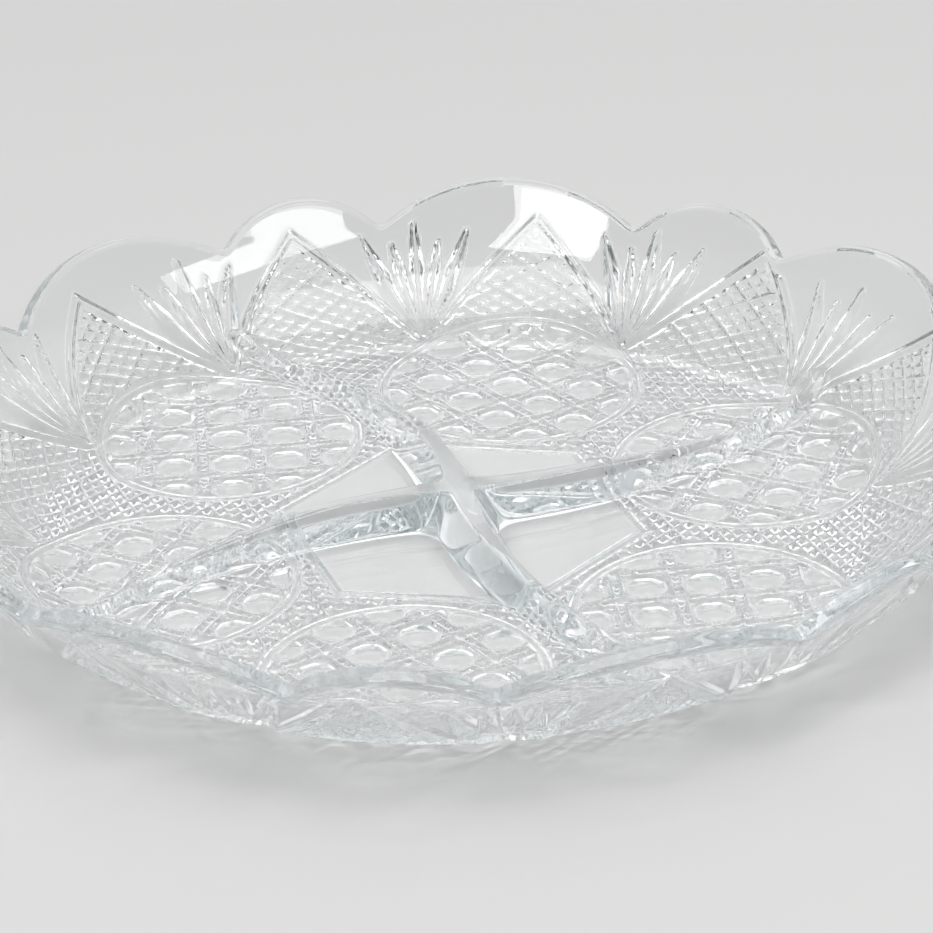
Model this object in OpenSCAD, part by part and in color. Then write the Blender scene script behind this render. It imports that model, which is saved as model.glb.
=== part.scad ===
// Round divided relish tray of clear pressed glass: four shallow compartments parted by a cross of
// rounded ridges, a flared wall with a scalloped rim, and a cut style pattern pressed into its underside.
// Every piece below is a region of the one pressing, and each meets its neighbours face to face.

/* [Floor] */
// Thickness of the floor
floor_t = 5; // [4:0.1:7]
// Flat land between the floor and the foot of the wall
foot_land = 1; // [0.5:0.1:4]

/* [Wall] */
// Thickness of the wall and of the rim
wall_t = 5; // [4:0.1:6.5]
// Radius of the underside where the wall leaves the table
foot_r = 96; // [84:1:112]
// Radius of the bend that turns the wall up
bend_r = 60; // [56:1:66]
// Slope of the wall's underside where it leaves the table, in degrees
foot_slope = 20; // [16:1:22]
// Slope of the flared lip, in degrees
lip_slope = 60; // [56:1:64]
// Height of the rim at the notches, halfway through the glass
notch_h = 26.8; // [24.5:0.1:28]

/* [Scallops] */
// Number of large scallops, with a small one between each pair
scallop_pairs = 7; // [6:1:8]
// Rise of a large scallop above its notches
large_rise = 10.5; // [8:0.1:12]
// Rise of a small scallop above its notches
small_rise = 9.1; // [7:0.1:10.5]
// Angle of the rim that a large scallop takes, in degrees
large_angle = 31.7; // [29:0.1:34]
// Angle of the first large scallop from the +X axis, in degrees
scallop_angle = 82.75; // [70:0.25:95]

/* [Ridges] */
// Number of ridges, and so of compartments
ridge_count = 4; // [3:1:5]
// Turn of the first ridge from the +X axis, in degrees
ridge_turn = 24.5; // [15:0.5:35]
// Angle by which a ridge sets off back from its turn at the hub, in degrees
ridge_swirl = 16.6; // [14:0.1:18]
// Radius of the bow that a ridge follows in plan
ridge_bow_r = 135; // [128:1:160]
// Angle by which a ridge's crest falls towards the wall, in degrees
ridge_fall = 4.5; // [3.5:0.1:5]
// Height of a ridge above the floor, at the hub
ridge_h = 11; // [9.5:0.1:12]
// Half the width of a ridge at its foot, at the hub
ridge_half_w = 7.5; // [6.8:0.1:8.2]
// Radius of a ridge's rounded top
ridge_top_r = 2.6; // [2:0.1:3]
// Height of the wall's inner face where a ridge ends
ridge_end_z = 11; // [9:0.5:14]

/* [Hub] */
// Radius of the hub where its flare meets the floor
hub_foot_r = 17; // [15:0.5:20]
// Radius of the hub's crown, where the ridges run into it
hub_crown_r = 10.5; // [10.2:0.1:12]
// Rise of the crown's dome above the ridges
hub_dome_h = 0.6; // [0.4:0.1:1.5]

/* [Window] */
// Clear glass between the centre window and the round fields
window_gap = 4.4; // [3.5:0.1:8]
// Depth of the window's underside above the table
window_lift = 0.8; // [0.4:0.1:1.5]

/* [Cane fields] */
// Number of round cane fields on the underside
field_count = 6; // [5:1:6]
// Turn of the first field from the +X axis, in degrees
pattern_turn = 79.4; // [60:0.2:100]
// Distance of a field's centre from the floor's edge
field_inset = 19; // [17:0.5:21]
// Half of the glass between neighbouring fields
field_gap = 5; // [4:0.1:8]
// Thickness of the glass that carries a field's buttons
field_web_t = 1.3; // [1:0.1:1.6]
// Width of the plain glass left between a field and the wall
field_land = 2; // [1.5:0.5:5]
// Distance between neighbouring buttons
cane_pitch = 13.75; // [12:0.25:16]
// Width of an eight-sided button across its corners
button_w = 9; // [7:0.1:10]
// Width of the small diamond between four buttons, corner to corner
star_w = 6; // [4:0.1:7]
// Clear glass left round the buttons of a field
button_margin = 0.4; // [0.2:0.1:1]

/* [Fans] */
// Depth of the pressed pattern
relief = 1.2; // [0.8:0.1:1.4]
// Width of the plain glass between the foot and the wall's pattern
fan_land = 4; // [2.5:0.5:8]
// Slope of the wall at which the pattern stops and the plain rim band starts, in degrees
band_slope = 57; // [54:0.5:57]
// Number of blades in a fan
blade_count = 5; // [3:2:5]
// Angle between the outer blades of a fan, in degrees
fan_angle = 46; // [44:1:60]
// Length of a blade, up the wall
blade_len = 33; // [26:0.5:33]
// Width of a blade at its middle
blade_w = 3; // [2:0.1:3]
// Distance of the blades' lower tips from the fan's foot
blade_gap = 3; // [2.5:0.1:5]

/* [Hidden] */
over = 1;
// Number of straight steps in an arc and in a full circle
arc_count = 6;
round_count = 96;
// Angle between the buttons' lattice and the field's axis
cane_angle = 45;
field_depth = relief + field_web_t;
fan_count = 2 * field_count;
blade_step = fan_angle / (blade_count - 1);

// Wall section: two arcs on one centre, then a straight lip
bend_x = foot_r - bend_r * sin(foot_slope);
bend_z = bend_r * cos(foot_slope);
inner_r = bend_r - wall_t;
middle_r = bend_r - wall_t / 2;
skin_r = bend_r - relief;
inner_start = acos((bend_z - floor_t) / inner_r);
floor_r = min(foot_r, bend_x + inner_r * sin(inner_start)) - foot_land;
fan_r = foot_r + fan_land;
pattern_start = asin((fan_r - bend_x) / bend_r);
crest_z = notch_h + max(large_rise, small_rise);
lip_len = (crest_z + wall_t - bend_z + inner_r * cos(lip_slope)) / sin(lip_slope);
function on_bend(r, slope) = [bend_x + r * sin(slope), bend_z - r * cos(slope)];
function bend_arc(r, from, to) =
    [for (i = [0 : arc_count]) on_bend(r, from + (to - from) * i / arc_count)];
function lip_end(r) = on_bend(r, lip_slope) + lip_len * [cos(lip_slope), sin(lip_slope)];
function middle_at(z) = let (top = on_bend(middle_r, lip_slope))
    z > top[1] ? top[0] + (z - top[1]) / tan(lip_slope)
    : on_bend(middle_r, acos((bend_z - z) / middle_r))[0];
function reversed(points) = [for (i = [len(points) - 1 : -1 : 0]) points[i]];

// Round fields share the ring between the window and the wall
field_place_r = floor_r - field_inset;
field_r = field_place_r * sin(180 / field_count) - field_gap;
window_r = (field_place_r - field_r - window_gap) / cos(180 / field_count);

// Ridge path: a bow in plan from the hub to the wall, then on up the wall's inner face
ridge_end_r = bend_x + sqrt(inner_r * inner_r - (bend_z - ridge_end_z) * (bend_z - ridge_end_z));
ridge_low_h = ridge_h - floor_r * sin(ridge_fall);
ridge_flank = atan((ridge_half_w - ridge_top_r) / (ridge_h - ridge_top_r)) / 2;
climb_count = 3;
// Number of flats across a ridge's rounded top, odd so that its end can close on a flat
crest_count = 5;
under_depth = 3 * wall_t + ridge_h;
function bow_angle(r) = 2 * asin(r / (2 * ridge_bow_r));
function bow_place(r) = let (heading = bow_angle(r) - ridge_swirl)
    ridge_bow_r * [sin(ridge_swirl) + sin(heading), cos(ridge_swirl) - cos(heading)];
function inner_z(r) = r < bend_x + inner_r * sin(inner_start) ? floor_t
    : bend_z - sqrt(inner_r * inner_r - (r - bend_x) * (r - bend_x));
climb_start_r = floor_r - ridge_half_w;
ridge_climb = [for (i = [0 : climb_count])
    let (r = climb_start_r + (ridge_end_r - climb_start_r) * i / climb_count)
    concat(bow_place(r), [inner_z(r)])];

// Plan shapes shared by the floor and what is let into it
module window_prism(h) {
    rotate([0, 0, pattern_turn + 180 / field_count])
        cylinder(r = window_r, h = h, $fn = field_count);
}

module field_prism(turn, h) {
    intersection() {
        rotate([0, 0, turn])
            translate([field_place_r, 0, 0])
                cylinder(r = field_r, h = h, $fn = round_count);
        cylinder(r = floor_r - field_land, h = h, $fn = round_count);
    }
}

module floor_plate() {
    color("aliceblue")
        difference() {
            cylinder(r = floor_r, h = floor_t, $fn = round_count);
            translate([0, 0, -over])
                window_prism(floor_t + 2 * over);
            for (i = [1 : field_count])
                translate([0, 0, -over])
                    field_prism(pattern_turn + 360 / field_count * i, field_depth + over);
        }
}

module centre_window() {
    color("azure")
        translate([0, 0, window_lift])
            window_prism(floor_t - window_lift);
}

// Hub: a low dome whose flare sweeps down to the floor between the ridges
module hub_body() {
    flare = [for (i = [0 : arc_count])
        [hub_foot_r - (hub_foot_r - hub_crown_r) * sin(90 * i / arc_count),
         floor_t + ridge_h * (1 - cos(90 * i / arc_count))]];
    dome = [for (i = [1 : arc_count])
        [hub_crown_r * cos(90 * i / arc_count),
         floor_t + ridge_h + hub_dome_h * sin(90 * i / arc_count)]];
    rotate_extrude($fn = round_count)
        polygon(concat([[0, floor_t]], flare, dome));
}

module centre_hub() {
    color("lightblue")
        hub_body();
}

// Ridge section: flanks that lean in to a rounded top, with a root that the wall cuts off
function ridge_top(last) = [for (i = [0 : last])
    let (a = 2 * ridge_flank + (180 - 4 * ridge_flank) * i / crest_count)
    [ridge_top_r * cos(a), ridge_h - ridge_top_r + ridge_top_r * sin(a)]];

module ridge_section() {
    polygon(concat(
        [[-ridge_half_w, -wall_t / 2], [ridge_half_w, -wall_t / 2], [ridge_half_w, 0]],
        ridge_top(crest_count),
        [[-ridge_half_w, 0]]));
}

module ridge_bow() {
    rotate([0, ridge_fall, 0])
        translate([ridge_bow_r * sin(ridge_swirl), ridge_bow_r * cos(ridge_swirl), 0])
            rotate([0, 0, -ridge_swirl - 90])
                rotate_extrude(angle = bow_angle(floor_r), $fn = round_count)
                    translate([ridge_bow_r, 0])
                        ridge_section();
}

// A straight run between two points of the climb, sunk so that its crest is as low as the bow's end
module ridge_run(from, to) {
    way = to - from;
    translate(from)
        rotate([0, 0, atan2(way[1], way[0]) - 90])
            rotate([atan2(way[2], norm([way[0], way[1]])), 0, 0])
                translate([0, 0, ridge_low_h - ridge_h]) {
                    rotate([90, 0, 180])
                        linear_extrude(norm(way))
                            ridge_section();
                    if (to == ridge_climb[climb_count])
                        translate([0, norm(way), 0])
                            ridge_end();
                }
}

module ridge_end() {
    half_top = ridge_top((crest_count - 1) / 2);
    rotate_extrude(angle = 180, $fn = round_count)
        polygon(concat(
            [[0, -wall_t / 2], [ridge_half_w, -wall_t / 2], [ridge_half_w, 0]],
            half_top,
            [[0, half_top[len(half_top) - 1][1]]]));
}

module under_inner_face() {
    rotate_extrude($fn = round_count)
        polygon(concat(
            [[0, -under_depth]],
            [[lip_end(inner_r)[0] + wall_t, -under_depth]],
            [[lip_end(inner_r)[0] + wall_t, lip_end(inner_r)[1]]],
            [lip_end(inner_r)],
            reversed(bend_arc(inner_r, inner_start, lip_slope)),
            [[0, floor_t]]));
}

module divider_ridge(i) {
    color("lightcyan")
        rotate([0, 0, ridge_turn + 360 / ridge_count * i])
            difference() {
                union() {
                    translate([0, 0, floor_t])
                        ridge_bow();
                    for (k = [0 : climb_count - 1])
                        ridge_run(ridge_climb[k], ridge_climb[k + 1]);
                }
                under_inner_face();
                hub_body();
                cylinder(r = hub_crown_r, h = floor_t + 2 * ridge_h, $fn = round_count);
            }
}

// Wall section, with the underside sunk by the depth of the pattern between the foot and the rim band
module wall_section() {
    polygon(concat(
        [[floor_r, 0], [foot_r, 0]],
        bend_arc(bend_r, foot_slope, pattern_start),
        bend_arc(skin_r, pattern_start, band_slope),
        bend_arc(bend_r, band_slope, lip_slope),
        [lip_end(bend_r), lip_end(inner_r)],
        reversed(bend_arc(inner_r, inner_start, lip_slope)),
        [[floor_r, floor_t]]));
}

// One scallop: its share of the wall, with the glass above a round arch cut away square to the lip
module scallop(turn, angle, rise) {
    notch_y = middle_at(notch_h) * cos(angle / 2);
    half_chord = middle_at(notch_h) * sin(angle / 2);
    top_y = middle_at(notch_h + rise);
    arch_h = (top_y - notch_y) * cos(lip_slope) + rise * sin(lip_slope);
    arch_r = (half_chord * half_chord + arch_h * arch_h) / (2 * arch_h);
    color("aliceblue")
        difference() {
            rotate([0, 0, turn - angle / 2])
                rotate_extrude(angle = angle, $fn = round_count)
                    wall_section();
            rotate([0, 0, turn - 90])
                translate([0, top_y, notch_h + rise])
                    rotate([lip_slope, 0, 0])
                        difference() {
                            translate([-half_chord - wall_t, -arch_h, -arch_r])
                                cube([2 * (half_chord + wall_t), 2 * arch_r, 2 * arch_r]);
                            translate([0, -arch_r, 0])
                                cylinder(r = arch_r, h = 3 * arch_r, center = true, $fn = round_count);
                        }
        }
}

module large_scallop(i) {
    scallop(scallop_angle + 360 / scallop_pairs * i, large_angle, large_rise);
}

module small_scallop(i) {
    small_angle = 360 / scallop_pairs - large_angle;
    scallop(scallop_angle + 360 / scallop_pairs * (i + 1 / 2), small_angle, small_rise);
}

// Cane field: a thin web with eight-sided buttons on a slanted square lattice, and a diamond in each gap
module cane_field(i) {
    turn = pattern_turn + 360 / field_count * i;
    reach = ceil(field_r / cane_pitch);
    place = field_place_r * [cos(turn), sin(turn)];
    color("lightsteelblue") {
        translate([0, 0, relief])
            field_prism(turn, field_web_t);
        for (u = [-reach : 1 / 2 : reach])
            for (v = [-reach : 1 / 2 : reach])
                cane_mark(u, v, turn + cane_angle, place);
    }
}

module cane_mark(u, v, turn, place) {
    on_lattice = u == floor(u) && v == floor(v);
    in_gap = u != floor(u) && v != floor(v);
    w = on_lattice ? button_w : star_w;
    spot = place + cane_pitch * [u * cos(turn) - v * sin(turn), u * sin(turn) + v * cos(turn)];
    room = button_margin + w / 2;
    fits = norm(spot - place) + room < field_r && norm(spot) + room < floor_r - field_land;
    if (fits && (on_lattice || in_gap))
        translate([spot[0], spot[1], 0])
            rotate([0, 0, turn + (on_lattice ? 180 / 8 : 0)])
                cylinder(r = w / 2, h = relief + field_web_t / 2, $fn = on_lattice ? 8 : 4);
}

// Fan: slender blades that stand out of the wall's sunk underside, spreading up from one foot
module pattern_skin(turn) {
    rotate([0, 0, turn - 180 / fan_count])
        rotate_extrude(angle = 360 / fan_count, $fn = round_count)
            polygon(concat(
                bend_arc(bend_r, pattern_start, band_slope),
                reversed(bend_arc(skin_r, pattern_start, band_slope))));
}

module blade_prism(lean) {
    flatten = cos((pattern_start + band_slope) / 2);
    function plan(along, across) = [
        fan_r + (along * cos(lean) - across * sin(lean)) * flatten,
        along * sin(lean) + across * cos(lean)];
    linear_extrude(crest_z)
        polygon([
            plan(blade_gap, 0),
            plan(blade_len / 2, blade_w / 2),
            plan(blade_len, 0),
            plan(blade_len / 2, -blade_w / 2)]);
}

module wall_fan(i) {
    turn = pattern_turn + 360 / fan_count * (i - 1 / 2);
    color("lightskyblue")
        intersection() {
            pattern_skin(turn);
            rotate([0, 0, turn])
                for (k = [0 : blade_count - 1])
                    blade_prism(blade_step * k - fan_angle / 2);
        }
}

floor_plate();
centre_window();
centre_hub();
for (i = [1 : ridge_count])
    divider_ridge(i);
for (i = [1 : scallop_pairs])
    large_scallop(i);
for (i = [1 : scallop_pairs])
    small_scallop(i);
for (i = [1 : field_count])
    cane_field(i);
for (i = [1 : fan_count])
    wall_fan(i);
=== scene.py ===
"""Pressed glass relish tray: four compartments, a cross of bowed ridges, a scalloped rim."""
import math

import bpy
import numpy as np
from mathutils import Matrix, Vector


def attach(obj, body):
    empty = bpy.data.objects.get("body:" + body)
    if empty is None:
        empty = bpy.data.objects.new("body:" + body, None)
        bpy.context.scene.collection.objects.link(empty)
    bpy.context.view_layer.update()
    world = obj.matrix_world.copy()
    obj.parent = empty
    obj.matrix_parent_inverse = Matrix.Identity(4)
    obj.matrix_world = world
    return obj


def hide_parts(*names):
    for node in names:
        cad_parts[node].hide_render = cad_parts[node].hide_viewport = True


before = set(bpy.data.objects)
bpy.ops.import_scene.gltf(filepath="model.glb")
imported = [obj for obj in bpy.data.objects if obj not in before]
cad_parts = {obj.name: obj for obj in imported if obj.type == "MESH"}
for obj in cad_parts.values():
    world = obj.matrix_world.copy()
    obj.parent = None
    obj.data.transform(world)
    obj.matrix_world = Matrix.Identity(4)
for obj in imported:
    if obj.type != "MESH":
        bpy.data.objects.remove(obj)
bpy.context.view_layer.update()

# The tray's lengths are in millimetres, and the stage's are in metres
MM = 0.001

# Section of the glass, as in the CAD source
FLOOR_T = 5.0
WALL_T = 5.0
FOOT_R = 96.0
BEND_R = 60.0
FOOT_SLOPE = math.radians(20.0)
LIP_SLOPE = math.radians(60.0)
BEND_X = FOOT_R - BEND_R * math.sin(FOOT_SLOPE)
BEND_Z = BEND_R * math.cos(FOOT_SLOPE)
INNER_R = BEND_R - WALL_T
MIDDLE_R = BEND_R - WALL_T / 2
INNER_START = math.acos((BEND_Z - FLOOR_T) / INNER_R)
INNER_FLOOR_R = BEND_X + INNER_R * math.sin(INNER_START)

# Reach of the rounding at the foot and at the inner corner
FOOT_EASE = 5.0
INNER_EASE = 9.0
TILT_REACH = 14.0

# Rim
PAIRS = 7
NOTCH_H = 26.8
LARGE_RISE = 10.5
SMALL_RISE = 9.1
LARGE_ANGLE = math.radians(31.7)
SMALL_ANGLE = 2 * math.pi / PAIRS - LARGE_ANGLE
SCALLOP_TURN = math.radians(82.75)
EDGE_ROUND = 1.3
LOWEST_RIM_SLOPE = math.radians(40.0)
LONGEST_LIP = 30.0
HALVINGS = 40
NOTCH_BLUR_STEPS = 6
NOTCH_BLUR_SPREAD = 2.2

# Ridges and hub
RIDGE_COUNT = 4
RIDGE_TURN = math.radians(24.5)
RIDGE_SWIRL = math.radians(16.6)
RIDGE_BOW_R = 135.0
RIDGE_FALL = math.radians(4.5)
RIDGE_H = 11.0
RIDGE_HALF_W = 7.5
RIDGE_TOP_R = 1.9
RIDGE_END_Z = 11.0
HUB_CROWN_R = 9.5
HUB_DOME_H = 0.6
HUB_SINK_SHARE = 0.2
JOIN_SOFT = 0.9
FLANK_FOOT_SOFT = 0.2
LOWEST_H = -40
LARGEST_POWER = 40

# Lattices of the pattern pressed into the underside
PATTERN_TURN = math.radians(79.4)
FIELD_COUNT = 6
FAN_COUNT = 2 * FIELD_COUNT
FIELD_STEP = 2 * math.pi / FIELD_COUNT
FAN_STEP = 2 * math.pi / FAN_COUNT
DIAGONAL = math.sqrt(0.5)
FINE_SLANT = 0.62
FINE_HALF_W_SHARE = 0.42
WIDE_EVERY = 3
WIDE_HALF_W = 1.3
WIDE_DEPTH_SHARE = 1.5

# Window, round fields and the fine work between them
WINDOW_R = 44.0
WINDOW_LINE_HALF_W = 1.0
WINDOW_LINE_DEPTH = 0.9
FIELD_PLACE_R = 75.0
FIELD_R = 32.5
FIELD_LINE_HALF_W = 0.8
FIELD_LINE_DEPTH = 0.55
FIELD_EDGE_W = 1.7
FLOOR_FINE_PITCH = 3.4
FLOOR_FINE_DEPTH = 1.5
LAND_W = 1.3
LAND_EASE = 0.6

# Buttons, ribbed bars and stars of a field
CANE_PITCH = 13.75
HOLLOW_HALF_W = 4.3
HOLLOW_DEPTH = 0.9
BUTTON_HALF_W = 4.5
BUTTON_LAND_HALF_W = 5.1
RIB_PLACE = 1.25
RIB_HALF_W = 1.05
RIB_DEPTH = 1.6
CANE_FINE_PITCH = 2.6
CANE_FINE_DEPTH = 1.15
STAR_R = 2.6
STAR_H = 1.5

# Fans and pointed arches of the wall
FAN_R = 101.0
BLADE_COUNT = 5
BLADE_SPREAD = math.radians(46.0)
BLADE_LEN = 37.0
SHORT_BLADE_SHARE = 0.86
BLADE_GAP = 2.0
BLADE_TIP_HALF_W = 0.3
BLADE_SWELL = 2.6
BLADE_SWELL_POWER = 0.75
BLADE_DEPTH = 2.9
ARCH_RISE = 37.0
ARCH_POWER = 0.95
ARCH_HALF_W = 1.3
ARCH_DEPTH = 2.0
ARCH_EDGE_W = 0.5
ARCH_LAND_W = 1.9
ARCH_LAND_EASE = 0.8
ARCH_FOOT_UP = -1.0
WALL_FINE_PITCH = 3.8
WALL_FINE_DEPTH = 1.25
LEVEL_PITCH = 1.9
LEVEL_HALF_W = 0.8
LEVEL_DEPTH = 0.6
PLAIN_RIM_W = 2.5
PLAIN_RIM_EASE = 1.5

# Unevenness of pressed glass: two slow waves, in radians and radians per millimetre
WAVE_H = 0.035
WAVE_X = 0.19
WAVE_Y = 0.23
WAVE_PHASE = 1.3
SLANT_WAVE_X = 0.11
SLANT_WAVE_Y = 0.17
SLANT_WAVE_PHASE = 0.7

# Rings of the mesh
STEPS_ROUND = 1260
CORE_R = 1.5
UNDER_COARSE_R = 35
UNDER_FINE_R = 36
UNDER_COARSE_RINGS = 10
UNDER_FINE_RINGS = 121
OUTER_WALL_RINGS = 92
EDGE_CORNER_RINGS = 5
INNER_WALL_RINGS = 42
FLOOR_INNER_R = 20
FLOOR_RINGS = 64
HUB_OUTER_R = 19
HUB_RINGS = 20

# Glass and floor
GLASS_COLOR = (0.985, 0.988, 0.988, 1)
GLASS_IOR = 1.5
STREAK_SCALE = 240.0
STREAK_DETAIL = 3.0
ROUGHEST = 0.03
BUMP_STRENGTH = 0.06
BUMP_DISTANCE = 0.0001
TINT_COLOR = (0.42, 0.55, 0.58, 1)
TINT_DENSITY = 6.5
FLOOR_COLOR = (0.585, 0.586, 0.583, 1)
FLOOR_ROUGHNESS = 0.9
FLOOR_SPECULAR = 0.1
FLOOR_SIZE = 8.0
FLOOR_PLACE = (0, 1.0, -0.0003)

# World: dark low down and towards the camera, so that the cuts show, and pale above and behind
WORLD_UP = (0.0, 0.6, 1.0)
WORLD_DARK_UP = 0.32
WORLD_PALE_UP = 0.88
WORLD_DARKEST = 0.01
BACKDROP_COLOR = (0.72, 0.72, 0.715, 1)

# Bounces of light, many in the glass so that it can cross the cuts
GLASS_BOUNCES = 48
PLAIN_BOUNCES = 12


def bend_point(radius, slope, lip):
    """A point of the wall's section: an arc about the bend's centre, then a straight lip."""
    x = BEND_X + radius * np.sin(slope) + lip * math.cos(LIP_SLOPE)
    z = BEND_Z - radius * np.cos(slope) + lip * math.sin(LIP_SLOPE)
    return x, z


def along_wall(m):
    """Slope and length of lip for a distance up the middle of the wall."""
    slope = np.minimum(m / MIDDLE_R, LIP_SLOPE)
    lip = np.maximum(m - MIDDLE_R * LIP_SLOPE, 0.0)
    return slope, lip


def wrap(angle):
    return (angle + np.pi) % (2 * np.pi) - np.pi


def rim_height(theta):
    """Distance up the middle of the wall at which the glass ends, for each turn about the axis."""
    pair = 2 * math.pi / PAIRS
    to_large = (theta - SCALLOP_TURN + pair / 2) % pair - pair / 2
    to_small = (theta - SCALLOP_TURN) % pair - pair / 2
    large = np.abs(to_large) <= LARGE_ANGLE / 2
    offset = np.where(large, to_large, to_small)
    rise = np.where(large, LARGE_RISE, SMALL_RISE)
    angle = np.where(large, LARGE_ANGLE, SMALL_ANGLE)
    notch_r = BEND_X + math.sqrt(MIDDLE_R ** 2 - (BEND_Z - NOTCH_H) ** 2)
    lip_r, lip_z = bend_point(MIDDLE_R, LIP_SLOPE, 0.0)
    top_z = NOTCH_H + rise
    top_y = lip_r + (top_z - lip_z) / math.tan(LIP_SLOPE)
    half_chord = notch_r * np.sin(angle / 2)
    inward = top_y - notch_r * np.cos(angle / 2)
    arch_h = inward * math.cos(LIP_SLOPE) + rise * math.sin(LIP_SLOPE)
    arch_r = (half_chord ** 2 + arch_h ** 2) / (2 * arch_h)
    low = np.full_like(theta, MIDDLE_R * LOWEST_RIM_SLOPE)
    high = np.full_like(theta, MIDDLE_R * LIP_SLOPE + LONGEST_LIP)
    for _ in range(HALVINGS):
        mid = (low + high) / 2
        r, z = bend_point(MIDDLE_R, *along_wall(mid))
        up = (r * np.cos(offset) - top_y) * math.cos(LIP_SLOPE) + (z - top_z) * math.sin(LIP_SLOPE)
        inside = (r * np.sin(offset)) ** 2 + (up + arch_r) ** 2 < arch_r ** 2
        inside |= up < -arch_r
        low = np.where(inside, mid, low)
        high = np.where(inside, high, mid)
    return low


def soft_notches(top):
    """The rim's height with its sharp notches rounded a little."""
    steps = np.arange(-NOTCH_BLUR_STEPS, NOTCH_BLUR_STEPS + 1)
    blur = np.exp(-0.5 * (steps / NOTCH_BLUR_SPREAD) ** 2)
    wide = np.concatenate([top[-NOTCH_BLUR_STEPS:], top, top[:NOTCH_BLUR_STEPS]])
    return np.convolve(wide, blur / blur.sum(), mode="valid")


def groove(distance, half_width, depth):
    """Depth of a V shaped groove at a distance from its line."""
    return depth * np.clip(1 - np.abs(distance) / half_width, 0, 1)


def nearest(a, pitch):
    """Signed distance to the nearest multiple of the pitch."""
    return (a + pitch / 2) % pitch - pitch / 2


def eased(distance, land, ease):
    """0 over a plain land, then rising to 1."""
    return np.clip((distance - land) / ease, 0, 1)


def octagon(a, b):
    """Half the width across the flats of the eight-sided ring through a point."""
    a, b = np.abs(a), np.abs(b)
    return np.maximum(np.maximum(a, b), (a + b) * DIAGONAL)


def local_turn(theta, start, step):
    """Angle from the nearest of the axes that lie one step apart."""
    turn = wrap(theta - start)
    return turn - np.round(turn / step) * step


def fine_cut(a, b, pitch, depth):
    """Fine crossing grooves that leave small pyramids, with every third line wider."""
    depths = []
    for line in (a + FINE_SLANT * b, a - FINE_SLANT * b):
        depths.append(groove(nearest(line, pitch), pitch * FINE_HALF_W_SHARE, depth))
        depths.append(groove(nearest(line, WIDE_EVERY * pitch), WIDE_HALF_W, depth * WIDE_DEPTH_SHARE))
    return np.maximum.reduce(depths)


def cane_depth(along, across):
    """Hollow buttons on a slanted square lattice, parted by ribbed bars that cross in small stars."""
    u = (along + across) * DIAGONAL
    v = (along - across) * DIAGONAL
    a, b = nearest(u, CANE_PITCH), nearest(v, CANE_PITCH)
    c = np.abs(nearest(u + CANE_PITCH / 2, CANE_PITCH))
    d = np.abs(nearest(v + CANE_PITCH / 2, CANE_PITCH))
    ribs = np.maximum(groove(c - RIB_PLACE, RIB_HALF_W, RIB_DEPTH),
                      groove(d - RIB_PLACE, RIB_HALF_W, RIB_DEPTH))
    teeth = fine_cut(along, across, CANE_FINE_PITCH, CANE_FINE_DEPTH)
    star = groove(c + d, STAR_R, STAR_H)
    bars = np.maximum(np.maximum(ribs, teeth) - star, 0)
    size = octagon(a, b)
    hollow = HOLLOW_DEPTH * np.clip(1 - (size / HOLLOW_HALF_W) ** 2, 0, 1)
    outside = np.where(size < BUTTON_LAND_HALF_W, 0.0, bars)
    return np.where(size < BUTTON_HALF_W, hollow, outside)


def field_place(r, theta):
    """Distances from the tray's axis along and across the nearest field's axis, and to its centre."""
    local = local_turn(theta, PATTERN_TURN, FIELD_STEP)
    along, across = r * np.cos(local), r * np.sin(local)
    return along, across, np.hypot(along - FIELD_PLACE_R, across)


def floor_depth(r, theta):
    """Depth of the pattern on the flat underside and just past the foot."""
    along, across, to_field = field_place(r, theta)
    to_window = along - WINDOW_R * math.cos(FIELD_STEP / 2)
    between = local_turn(theta, PATTERN_TURN + FIELD_STEP / 2, FIELD_STEP)
    ground = fine_cut(r * np.cos(between), r * np.sin(between), FLOOR_FINE_PITCH, FLOOR_FINE_DEPTH)
    depth = np.where(to_field < FIELD_R, cane_depth(along - FIELD_PLACE_R, across), ground)
    depth = depth * eased(np.abs(to_field - FIELD_R), LAND_W, LAND_EASE)
    depth = np.maximum(depth, groove(to_field - FIELD_R, FIELD_LINE_HALF_W, FIELD_LINE_DEPTH))
    depth = np.where(to_window < 0, 0.0, depth * eased(np.abs(to_window), LAND_W, LAND_EASE))
    return np.maximum(depth, groove(to_window, WINDOW_LINE_HALF_W, WINDOW_LINE_DEPTH))


def blade_depth(a, b, number):
    """Depth of one slender blade of a fan whose foot is at the origin."""
    rho, psi = np.hypot(a, b), np.arctan2(a, b)
    lean = BLADE_SPREAD * (number / (BLADE_COUNT - 1) - 0.5)
    length = BLADE_LEN * (1.0 if number % 2 == 0 else SHORT_BLADE_SHARE)
    t = np.clip((rho * np.cos(psi - lean) - BLADE_GAP) / (length - BLADE_GAP), 0, 1)
    half_w = BLADE_TIP_HALF_W + BLADE_SWELL * np.sin(np.pi * t ** BLADE_SWELL_POWER)
    return groove(rho * np.sin(psi - lean), half_w, BLADE_DEPTH) * (t > 0) * (t < 1)


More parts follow.
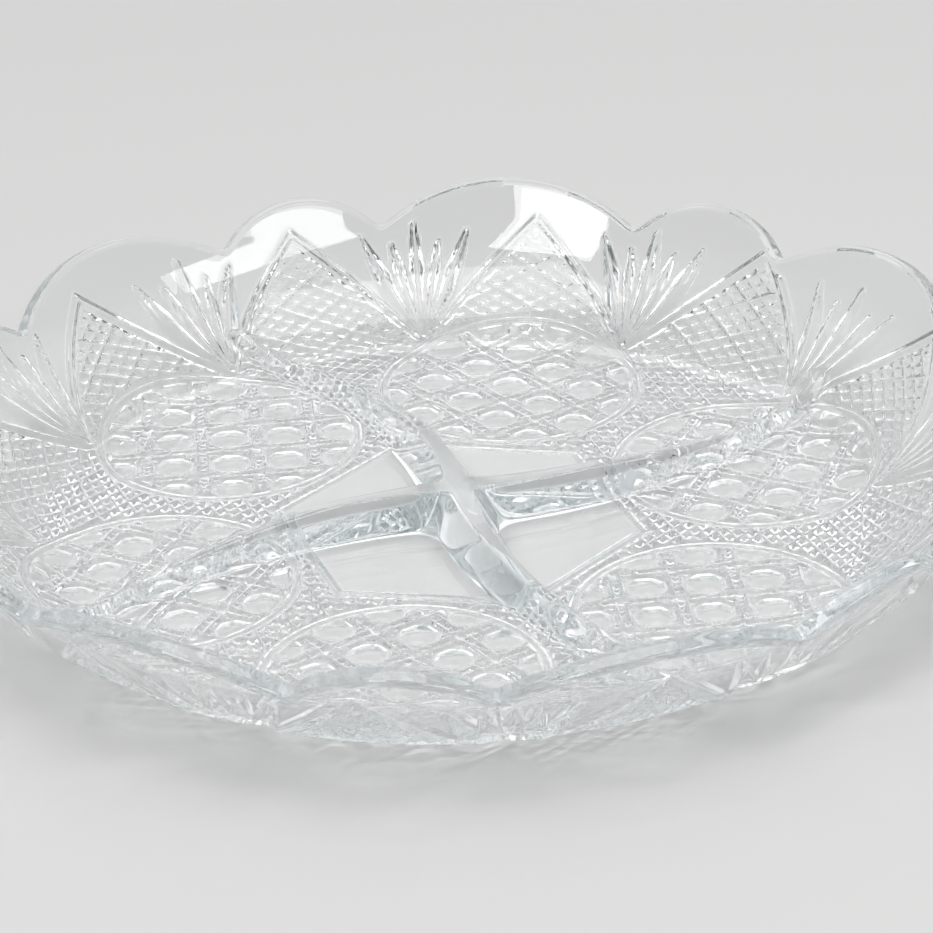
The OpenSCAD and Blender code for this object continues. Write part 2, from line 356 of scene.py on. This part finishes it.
def wall_depth(r, theta, up):
    """Depth of the fans, the pointed arches and the fine work on the wall's outer face."""
    half = FAN_STEP / 2
    to_fan = local_turn(theta, PATTERN_TURN + half, FAN_STEP)
    blades = [blade_depth(r * np.sin(to_fan), up, number) for number in range(BLADE_COUNT)]
    arch = ARCH_RISE * np.clip(np.abs(to_fan) / half, 0, 1) ** ARCH_POWER
    to_arch = (up - arch) * DIAGONAL
    from_arch_axis = to_fan - half * np.sign(to_fan)
    under = np.maximum(fine_cut(up, r * from_arch_axis, WALL_FINE_PITCH, WALL_FINE_DEPTH),
                       groove(nearest(up, LEVEL_PITCH), LEVEL_HALF_W, LEVEL_DEPTH))
    under = under * eased(-to_arch, ARCH_LAND_W, ARCH_LAND_EASE)
    depth = np.where(to_arch < -ARCH_EDGE_W, under, np.maximum.reduce(blades))
    return np.maximum(depth, groove(to_arch, ARCH_HALF_W, ARCH_DEPTH) * (up > ARCH_FOOT_UP))


def pattern_depth(r, theta, up):
    """Whole pattern: the floor's below the foot and in the round fields, the wall's above them."""
    to_field = field_place(r, theta)[2]
    on_floor = (up < 0) | (to_field < FIELD_R + FIELD_EDGE_W)
    return np.where(on_floor, floor_depth(r, theta), wall_depth(r, theta, up))


def ridge_height(x, y, along):
    """Height of the ridges and the hub above the inner face."""
    end_slope = math.acos((BEND_Z - RIDGE_END_Z) / INNER_R)
    end = INNER_FLOOR_R + INNER_R * (end_slope - INNER_START)
    flank = math.atan((RIDGE_HALF_W - RIDGE_TOP_R) / (RIDGE_H - RIDGE_TOP_R))
    top_x = RIDGE_TOP_R * math.cos(flank)
    top_z = RIDGE_H - RIDGE_TOP_R + RIDGE_TOP_R * math.sin(flank)
    fall = top_z / (RIDGE_HALF_W - top_x)
    rho = np.hypot(x, y)
    sunk = np.minimum(rho, INNER_FLOOR_R) * math.sin(RIDGE_FALL)
    total = np.zeros_like(x)
    for i in range(RIDGE_COUNT):
        turn = RIDGE_TURN + i * 2 * math.pi / RIDGE_COUNT
        far = x * math.cos(turn) + y * math.sin(turn) - RIDGE_BOW_R * math.sin(RIDGE_SWIRL)
        side = y * math.cos(turn) - x * math.sin(turn) - RIDGE_BOW_R * math.cos(RIDGE_SWIRL)
        run = RIDGE_BOW_R * wrap(np.arctan2(far, -side) + RIDGE_SWIRL)
        beyond = np.where(run < 0, -run, np.maximum(along - end, 0))
        d = np.hypot(np.hypot(far, side) - RIDGE_BOW_R, beyond)
        crown = RIDGE_H - RIDGE_TOP_R + np.sqrt(np.maximum(RIDGE_TOP_R ** 2 - d ** 2, 0))
        height = np.where(d < top_x, crown, top_z - (d - top_x) * fall) - sunk
        total += np.exp(np.maximum(height, LOWEST_H) / JOIN_SOFT)
    mound = (1 + HUB_SINK_SHARE) * np.exp(-(rho / HUB_CROWN_R) ** 2) - HUB_SINK_SHARE
    mound = (RIDGE_H + HUB_DOME_H) * mound
    total += np.exp(np.maximum(mound, LOWEST_H) / JOIN_SOFT)
    power = np.clip(JOIN_SOFT * np.log(total) / FLANK_FOOT_SOFT, -LARGEST_POWER, LARGEST_POWER)
    return FLANK_FOOT_SOFT * np.log(1 + np.exp(power))


def waviness(x, y):
    """Faint unevenness of the inner face."""
    upright = np.sin(x * WAVE_X + WAVE_PHASE) * np.cos(y * WAVE_Y)
    slanted = np.sin(x * SLANT_WAVE_X - y * SLANT_WAVE_Y + SLANT_WAVE_PHASE)
    return WAVE_H * (upright + slanted)


def corner_rise(distance, reach, angle):
    """Rise that rounds the corner between two faces, as far as the reach to each side of it."""
    near = np.maximum(0.0, reach - np.abs(distance))
    return near * near * math.tan(angle) / (4 * reach)


def corner_tilt(distance):
    """Turn of the direction in which the inner face rises, over the corner of floor and wall."""
    return INNER_START / 2 * np.clip(1 - distance / TILT_REACH, 0, 1) ** 2


def ring(theta, r, z):
    return np.stack([r * np.cos(theta), r * np.sin(theta), z], axis=1)


def underside_rings(theta):
    coarse = np.linspace(CORE_R, UNDER_COARSE_R, UNDER_COARSE_RINGS)
    fine = np.linspace(UNDER_FINE_R, FOOT_R, UNDER_FINE_RINGS)
    rings = []
    for radius in np.concatenate([coarse, fine]):
        r = np.full_like(theta, radius)
        z = pattern_depth(r, theta, r - FAN_R) + corner_rise(radius - FOOT_R, FOOT_EASE, FOOT_SLOPE)
        rings.append(ring(theta, r, z))
    return rings


def outer_wall_rings(theta, end):
    start = MIDDLE_R * FOOT_SLOPE
    fan_up = BEND_R * (math.asin((FAN_R - BEND_X) / BEND_R) - FOOT_SLOPE)
    rings = []
    for k in range(1, OUTER_WALL_RINGS + 1):
        m = start + (end - start) * k / OUTER_WALL_RINGS
        slope, lip = along_wall(m)
        r, z = bend_point(BEND_R, slope, lip)
        up = BEND_R * (slope - FOOT_SLOPE) + lip
        depth = pattern_depth(r, theta, up - fan_up) * eased(end - m, PLAIN_RIM_W, PLAIN_RIM_EASE)
        sunk = depth + corner_rise(up, FOOT_EASE, FOOT_SLOPE)
        rings.append(ring(theta, r - sunk * np.sin(slope), z + sunk * np.cos(slope)))
    return rings


def edge_rings(theta, end):
    """Rounded outer corner, flat top and rounded inner corner of the rim."""
    flat = WALL_T / 2 - EDGE_ROUND
    quarter = math.pi / 2
    turns = [quarter * k / EDGE_CORNER_RINGS for k in range(1, EDGE_CORNER_RINGS + 1)]
    places = [(flat, turn) for turn in turns]
    places += [(flat / 2, quarter), (0.0, quarter), (-flat / 2, quarter)]
    places += [(-flat, quarter + turn) for turn in turns]
    slope, lip = along_wall(end)
    rings = []
    for shift, turn in places:
        r, z = bend_point(MIDDLE_R + shift + EDGE_ROUND * math.cos(turn), slope, lip)
        out = EDGE_ROUND * math.sin(turn)
        rings.append(ring(theta, r + out * np.cos(slope), z + out * np.sin(slope)))
    return rings


def inner_wall_rings(theta, end):
    start = MIDDLE_R * INNER_START
    rings = []
    for k in range(INNER_WALL_RINGS, 0, -1):
        m = start + (end - start) * k / INNER_WALL_RINGS
        slope, lip = along_wall(m)
        r, z = bend_point(INNER_R, slope, lip)
        up = INNER_R * (slope - INNER_START) + lip
        x, y = r * np.cos(theta), r * np.sin(theta)
        rise = ridge_height(x, y, INNER_FLOOR_R + up) + waviness(x, y)
        rise = rise + corner_rise(up, INNER_EASE, INNER_START)
        tilt = slope - corner_tilt(up)
        rings.append(ring(theta, r - rise * np.sin(tilt), z + rise * np.cos(tilt)))
    return rings


def inner_floor_rings(theta):
    floor = np.linspace(INNER_FLOOR_R, FLOOR_INNER_R, FLOOR_RINGS)
    hub = np.linspace(HUB_OUTER_R, CORE_R, HUB_RINGS)
    rings = []
    for radius in np.concatenate([floor, hub]):
        r = np.full_like(theta, radius)
        x, y = r * np.cos(theta), r * np.sin(theta)
        rise = ridge_height(x, y, r) + waviness(x, y)
        rise = rise + corner_rise(INNER_FLOOR_R - radius, INNER_EASE, INNER_START)
        tilt = corner_tilt(INNER_FLOOR_R - r)
        rings.append(ring(theta, r - rise * np.sin(tilt), FLOOR_T + rise * np.cos(tilt)))
    return rings


def tray_rings():
    """Rings from the middle of the underside, out and round the rim, and back to the middle."""
    theta = np.arange(STEPS_ROUND) * 2 * np.pi / STEPS_ROUND
    end = soft_notches(rim_height(theta)) - EDGE_ROUND
    outside = underside_rings(theta) + outer_wall_rings(theta, end)
    return outside + edge_rings(theta, end) + inner_wall_rings(theta, end) + inner_floor_rings(theta)


def ring_mesh(name, rings):
    """Closed mesh through rings of points, with a middle point at each end."""
    count = len(rings)
    first = rings[0].mean(axis=0)
    last = rings[-1].mean(axis=0)
    points = np.concatenate(rings + [first[None], last[None]]) * MM
    j = np.arange(STEPS_ROUND)
    after = (j + 1) % STEPS_ROUND
    quads = []
    for k in range(count - 1):
        low, high = k * STEPS_ROUND, (k + 1) * STEPS_ROUND
        quads.append(np.stack([low + j, low + after, high + after, high + j], axis=1))
    quads = np.concatenate(quads)
    under = np.stack([np.full_like(j, count * STEPS_ROUND), after, j], axis=1)
    base = (count - 1) * STEPS_ROUND
    over = np.stack([np.full_like(j, count * STEPS_ROUND + 1), base + j, base + after], axis=1)
    corners = np.concatenate([quads.ravel(), under.ravel(), over.ravel()])
    totals = np.concatenate([np.full(len(quads), 4), np.full(2 * STEPS_ROUND, 3)])
    starts = np.concatenate([[0], np.cumsum(totals)[:-1]])
    mesh = bpy.data.meshes.new(name)
    mesh.vertices.add(len(points))
    mesh.vertices.foreach_set("co", points.ravel())
    mesh.loops.add(len(corners))
    mesh.loops.foreach_set("vertex_index", corners.astype(np.int32))
    mesh.polygons.add(len(totals))
    mesh.polygons.foreach_set("loop_start", starts.astype(np.int32))
    mesh.polygons.foreach_set("use_smooth", np.ones(len(totals), dtype=bool))
    mesh.update(calc_edges=True)
    mesh.validate()
    piece = bpy.data.objects.new(name, mesh)
    bpy.context.collection.objects.link(piece)
    return piece


def glass():
    """Clear pressed glass with a faint cool tint and faint streaks."""
    mat = bpy.data.materials.new("pressed_glass")
    mat.use_nodes = True
    tree = mat.node_tree
    shader = tree.nodes["Principled BSDF"]
    shader.inputs["Base Color"].default_value = GLASS_COLOR
    shader.inputs["Transmission Weight"].default_value = 1.0
    shader.inputs["IOR"].default_value = GLASS_IOR
    place = tree.nodes.new("ShaderNodeTexCoord")
    streaks = tree.nodes.new("ShaderNodeTexNoise")
    streaks.inputs["Scale"].default_value = STREAK_SCALE
    streaks.inputs["Detail"].default_value = STREAK_DETAIL
    tree.links.new(place.outputs["Object"], streaks.inputs["Vector"])
    rough = tree.nodes.new("ShaderNodeMapRange")
    rough.inputs["To Min"].default_value = 0.0
    rough.inputs["To Max"].default_value = ROUGHEST
    tree.links.new(streaks.outputs["Fac"], rough.inputs["Value"])
    tree.links.new(rough.outputs["Result"], shader.inputs["Roughness"])
    bump = tree.nodes.new("ShaderNodeBump")
    bump.inputs["Strength"].default_value = BUMP_STRENGTH
    bump.inputs["Distance"].default_value = BUMP_DISTANCE
    tree.links.new(streaks.outputs["Fac"], bump.inputs["Height"])
    tree.links.new(bump.outputs["Normal"], shader.inputs["Normal"])
    tint = tree.nodes.new("ShaderNodeVolumeAbsorption")
    tint.inputs["Color"].default_value = TINT_COLOR
    tint.inputs["Density"].default_value = TINT_DENSITY
    tree.links.new(tint.outputs["Volume"], tree.nodes["Material Output"].inputs["Volume"])
    return mat


def pale_floor():
    mat = bpy.data.materials.new("pale_floor")
    mat.use_nodes = True
    shader = mat.node_tree.nodes["Principled BSDF"]
    shader.inputs["Base Color"].default_value = FLOOR_COLOR
    shader.inputs["Roughness"].default_value = FLOOR_ROUGHNESS
    shader.inputs["Specular IOR Level"].default_value = FLOOR_SPECULAR
    return mat


def build_tray():
    tray = ring_mesh("tray", tray_rings())
    tray.data.materials.append(glass())
    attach(tray, "root")
    names = ["floor_plate", "centre_window", "centre_hub"]
    for stem, count in (("divider_ridge", RIDGE_COUNT), ("large_scallop", PAIRS),
                        ("small_scallop", PAIRS), ("cane_field", FIELD_COUNT),
                        ("wall_fan", FAN_COUNT)):
        names += [f"{stem}_{i + 1}" for i in range(count)]
    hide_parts(*names)
    return tray


def build_floor():
    bpy.ops.mesh.primitive_plane_add(size=FLOOR_SIZE, location=FLOOR_PLACE)
    floor = bpy.context.object
    floor.name = "floor"
    floor.data.materials.append(pale_floor())


def soft_light(name, where, width, height, power):
    """A rectangular lamp that looks at the tray, with its place and size in metres."""
    data = bpy.data.lights.new(name, "AREA")
    data.shape = "RECTANGLE"
    data.size = width
    data.size_y = height
    data.energy = power
    lamp = bpy.data.objects.new(name, data)
    lamp.location = where
    lamp.rotation_euler = (-Vector(where)).to_track_quat("-Z", "Y").to_euler()
    bpy.context.collection.objects.link(lamp)
    return lamp


def build_world():
    """A soft room, and a pale backdrop for what the camera sees directly."""
    world = bpy.data.worlds.new("studio")
    bpy.context.scene.world = world
    world.use_nodes = True
    tree = world.node_tree
    back = tree.nodes["Background"]
    place = tree.nodes.new("ShaderNodeTexCoord")
    height = tree.nodes.new("ShaderNodeVectorMath")
    height.operation = "DOT_PRODUCT"
    height.inputs[1].default_value = WORLD_UP
    tree.links.new(place.outputs["Generated"], height.inputs[0])
    ramp = tree.nodes.new("ShaderNodeMapRange")
    ramp.inputs["From Min"].default_value = WORLD_DARK_UP
    ramp.inputs["From Max"].default_value = WORLD_PALE_UP
    ramp.inputs["To Min"].default_value = WORLD_DARKEST
    ramp.inputs["To Max"].default_value = 1.0
    tree.links.new(height.outputs["Value"], ramp.inputs["Value"])
    tree.links.new(ramp.outputs["Result"], back.inputs["Color"])
    pale = tree.nodes.new("ShaderNodeBackground")
    pale.inputs["Color"].default_value = BACKDROP_COLOR
    path = tree.nodes.new("ShaderNodeLightPath")
    mix = tree.nodes.new("ShaderNodeMixShader")
    tree.links.new(path.outputs["Is Camera Ray"], mix.inputs["Fac"])
    tree.links.new(back.outputs["Background"], mix.inputs[1])
    tree.links.new(pale.outputs["Background"], mix.inputs[2])
    tree.links.new(mix.outputs["Shader"], tree.nodes["World Output"].inputs["Surface"])


def build_lamps():
    soft_light("window_front", where=(-0.66, -1.2, 1.46), width=0.62, height=0.7, power=9.0)
    soft_light("window_side", where=(1.18, -0.95, 1.34), width=1.4, height=0.42, power=8.5)
    soft_light("ceiling", where=(0.1, -0.35, 2.7), width=2.4, height=1.3, power=25.0)
    soft_light("back_strip", where=(-0.25, 1.5, 1.45), width=1.2, height=0.3, power=2.0)


def build_camera():
    """A long lens that looks down on the tray from the front, turned a little about its own axis."""
    tilt = 0.484
    distance = 0.89925
    roll = -0.036
    data = bpy.data.cameras.new("camera")
    data.sensor_width = 36.0
    data.lens = 145.53
    data.shift_x = 0.00633
    data.shift_y = 0.0708
    camera = bpy.data.objects.new("camera", data)
    where = Vector((0, -math.cos(tilt) * distance, math.sin(tilt) * distance))
    aim = (-where).to_track_quat("-Z", "Y").to_matrix().to_4x4()
    camera.matrix_world = Matrix.Translation(where) @ aim @ Matrix.Rotation(roll, 4, "Z")
    bpy.context.collection.objects.link(camera)
    bpy.context.scene.camera = camera


def settings():
    """Plain view transform, and enough bounces for light to cross the cut glass many times."""
    scene = bpy.context.scene
    scene.view_settings.view_transform = "Standard"
    scene.cycles.blur_glossy = 0.0
    scene.cycles.max_bounces = GLASS_BOUNCES
    scene.cycles.transmission_bounces = GLASS_BOUNCES
    scene.cycles.glossy_bounces = PLAIN_BOUNCES
    scene.cycles.diffuse_bounces = PLAIN_BOUNCES


build_tray()
build_floor()
build_world()
build_lamps()
build_camera()
settings()
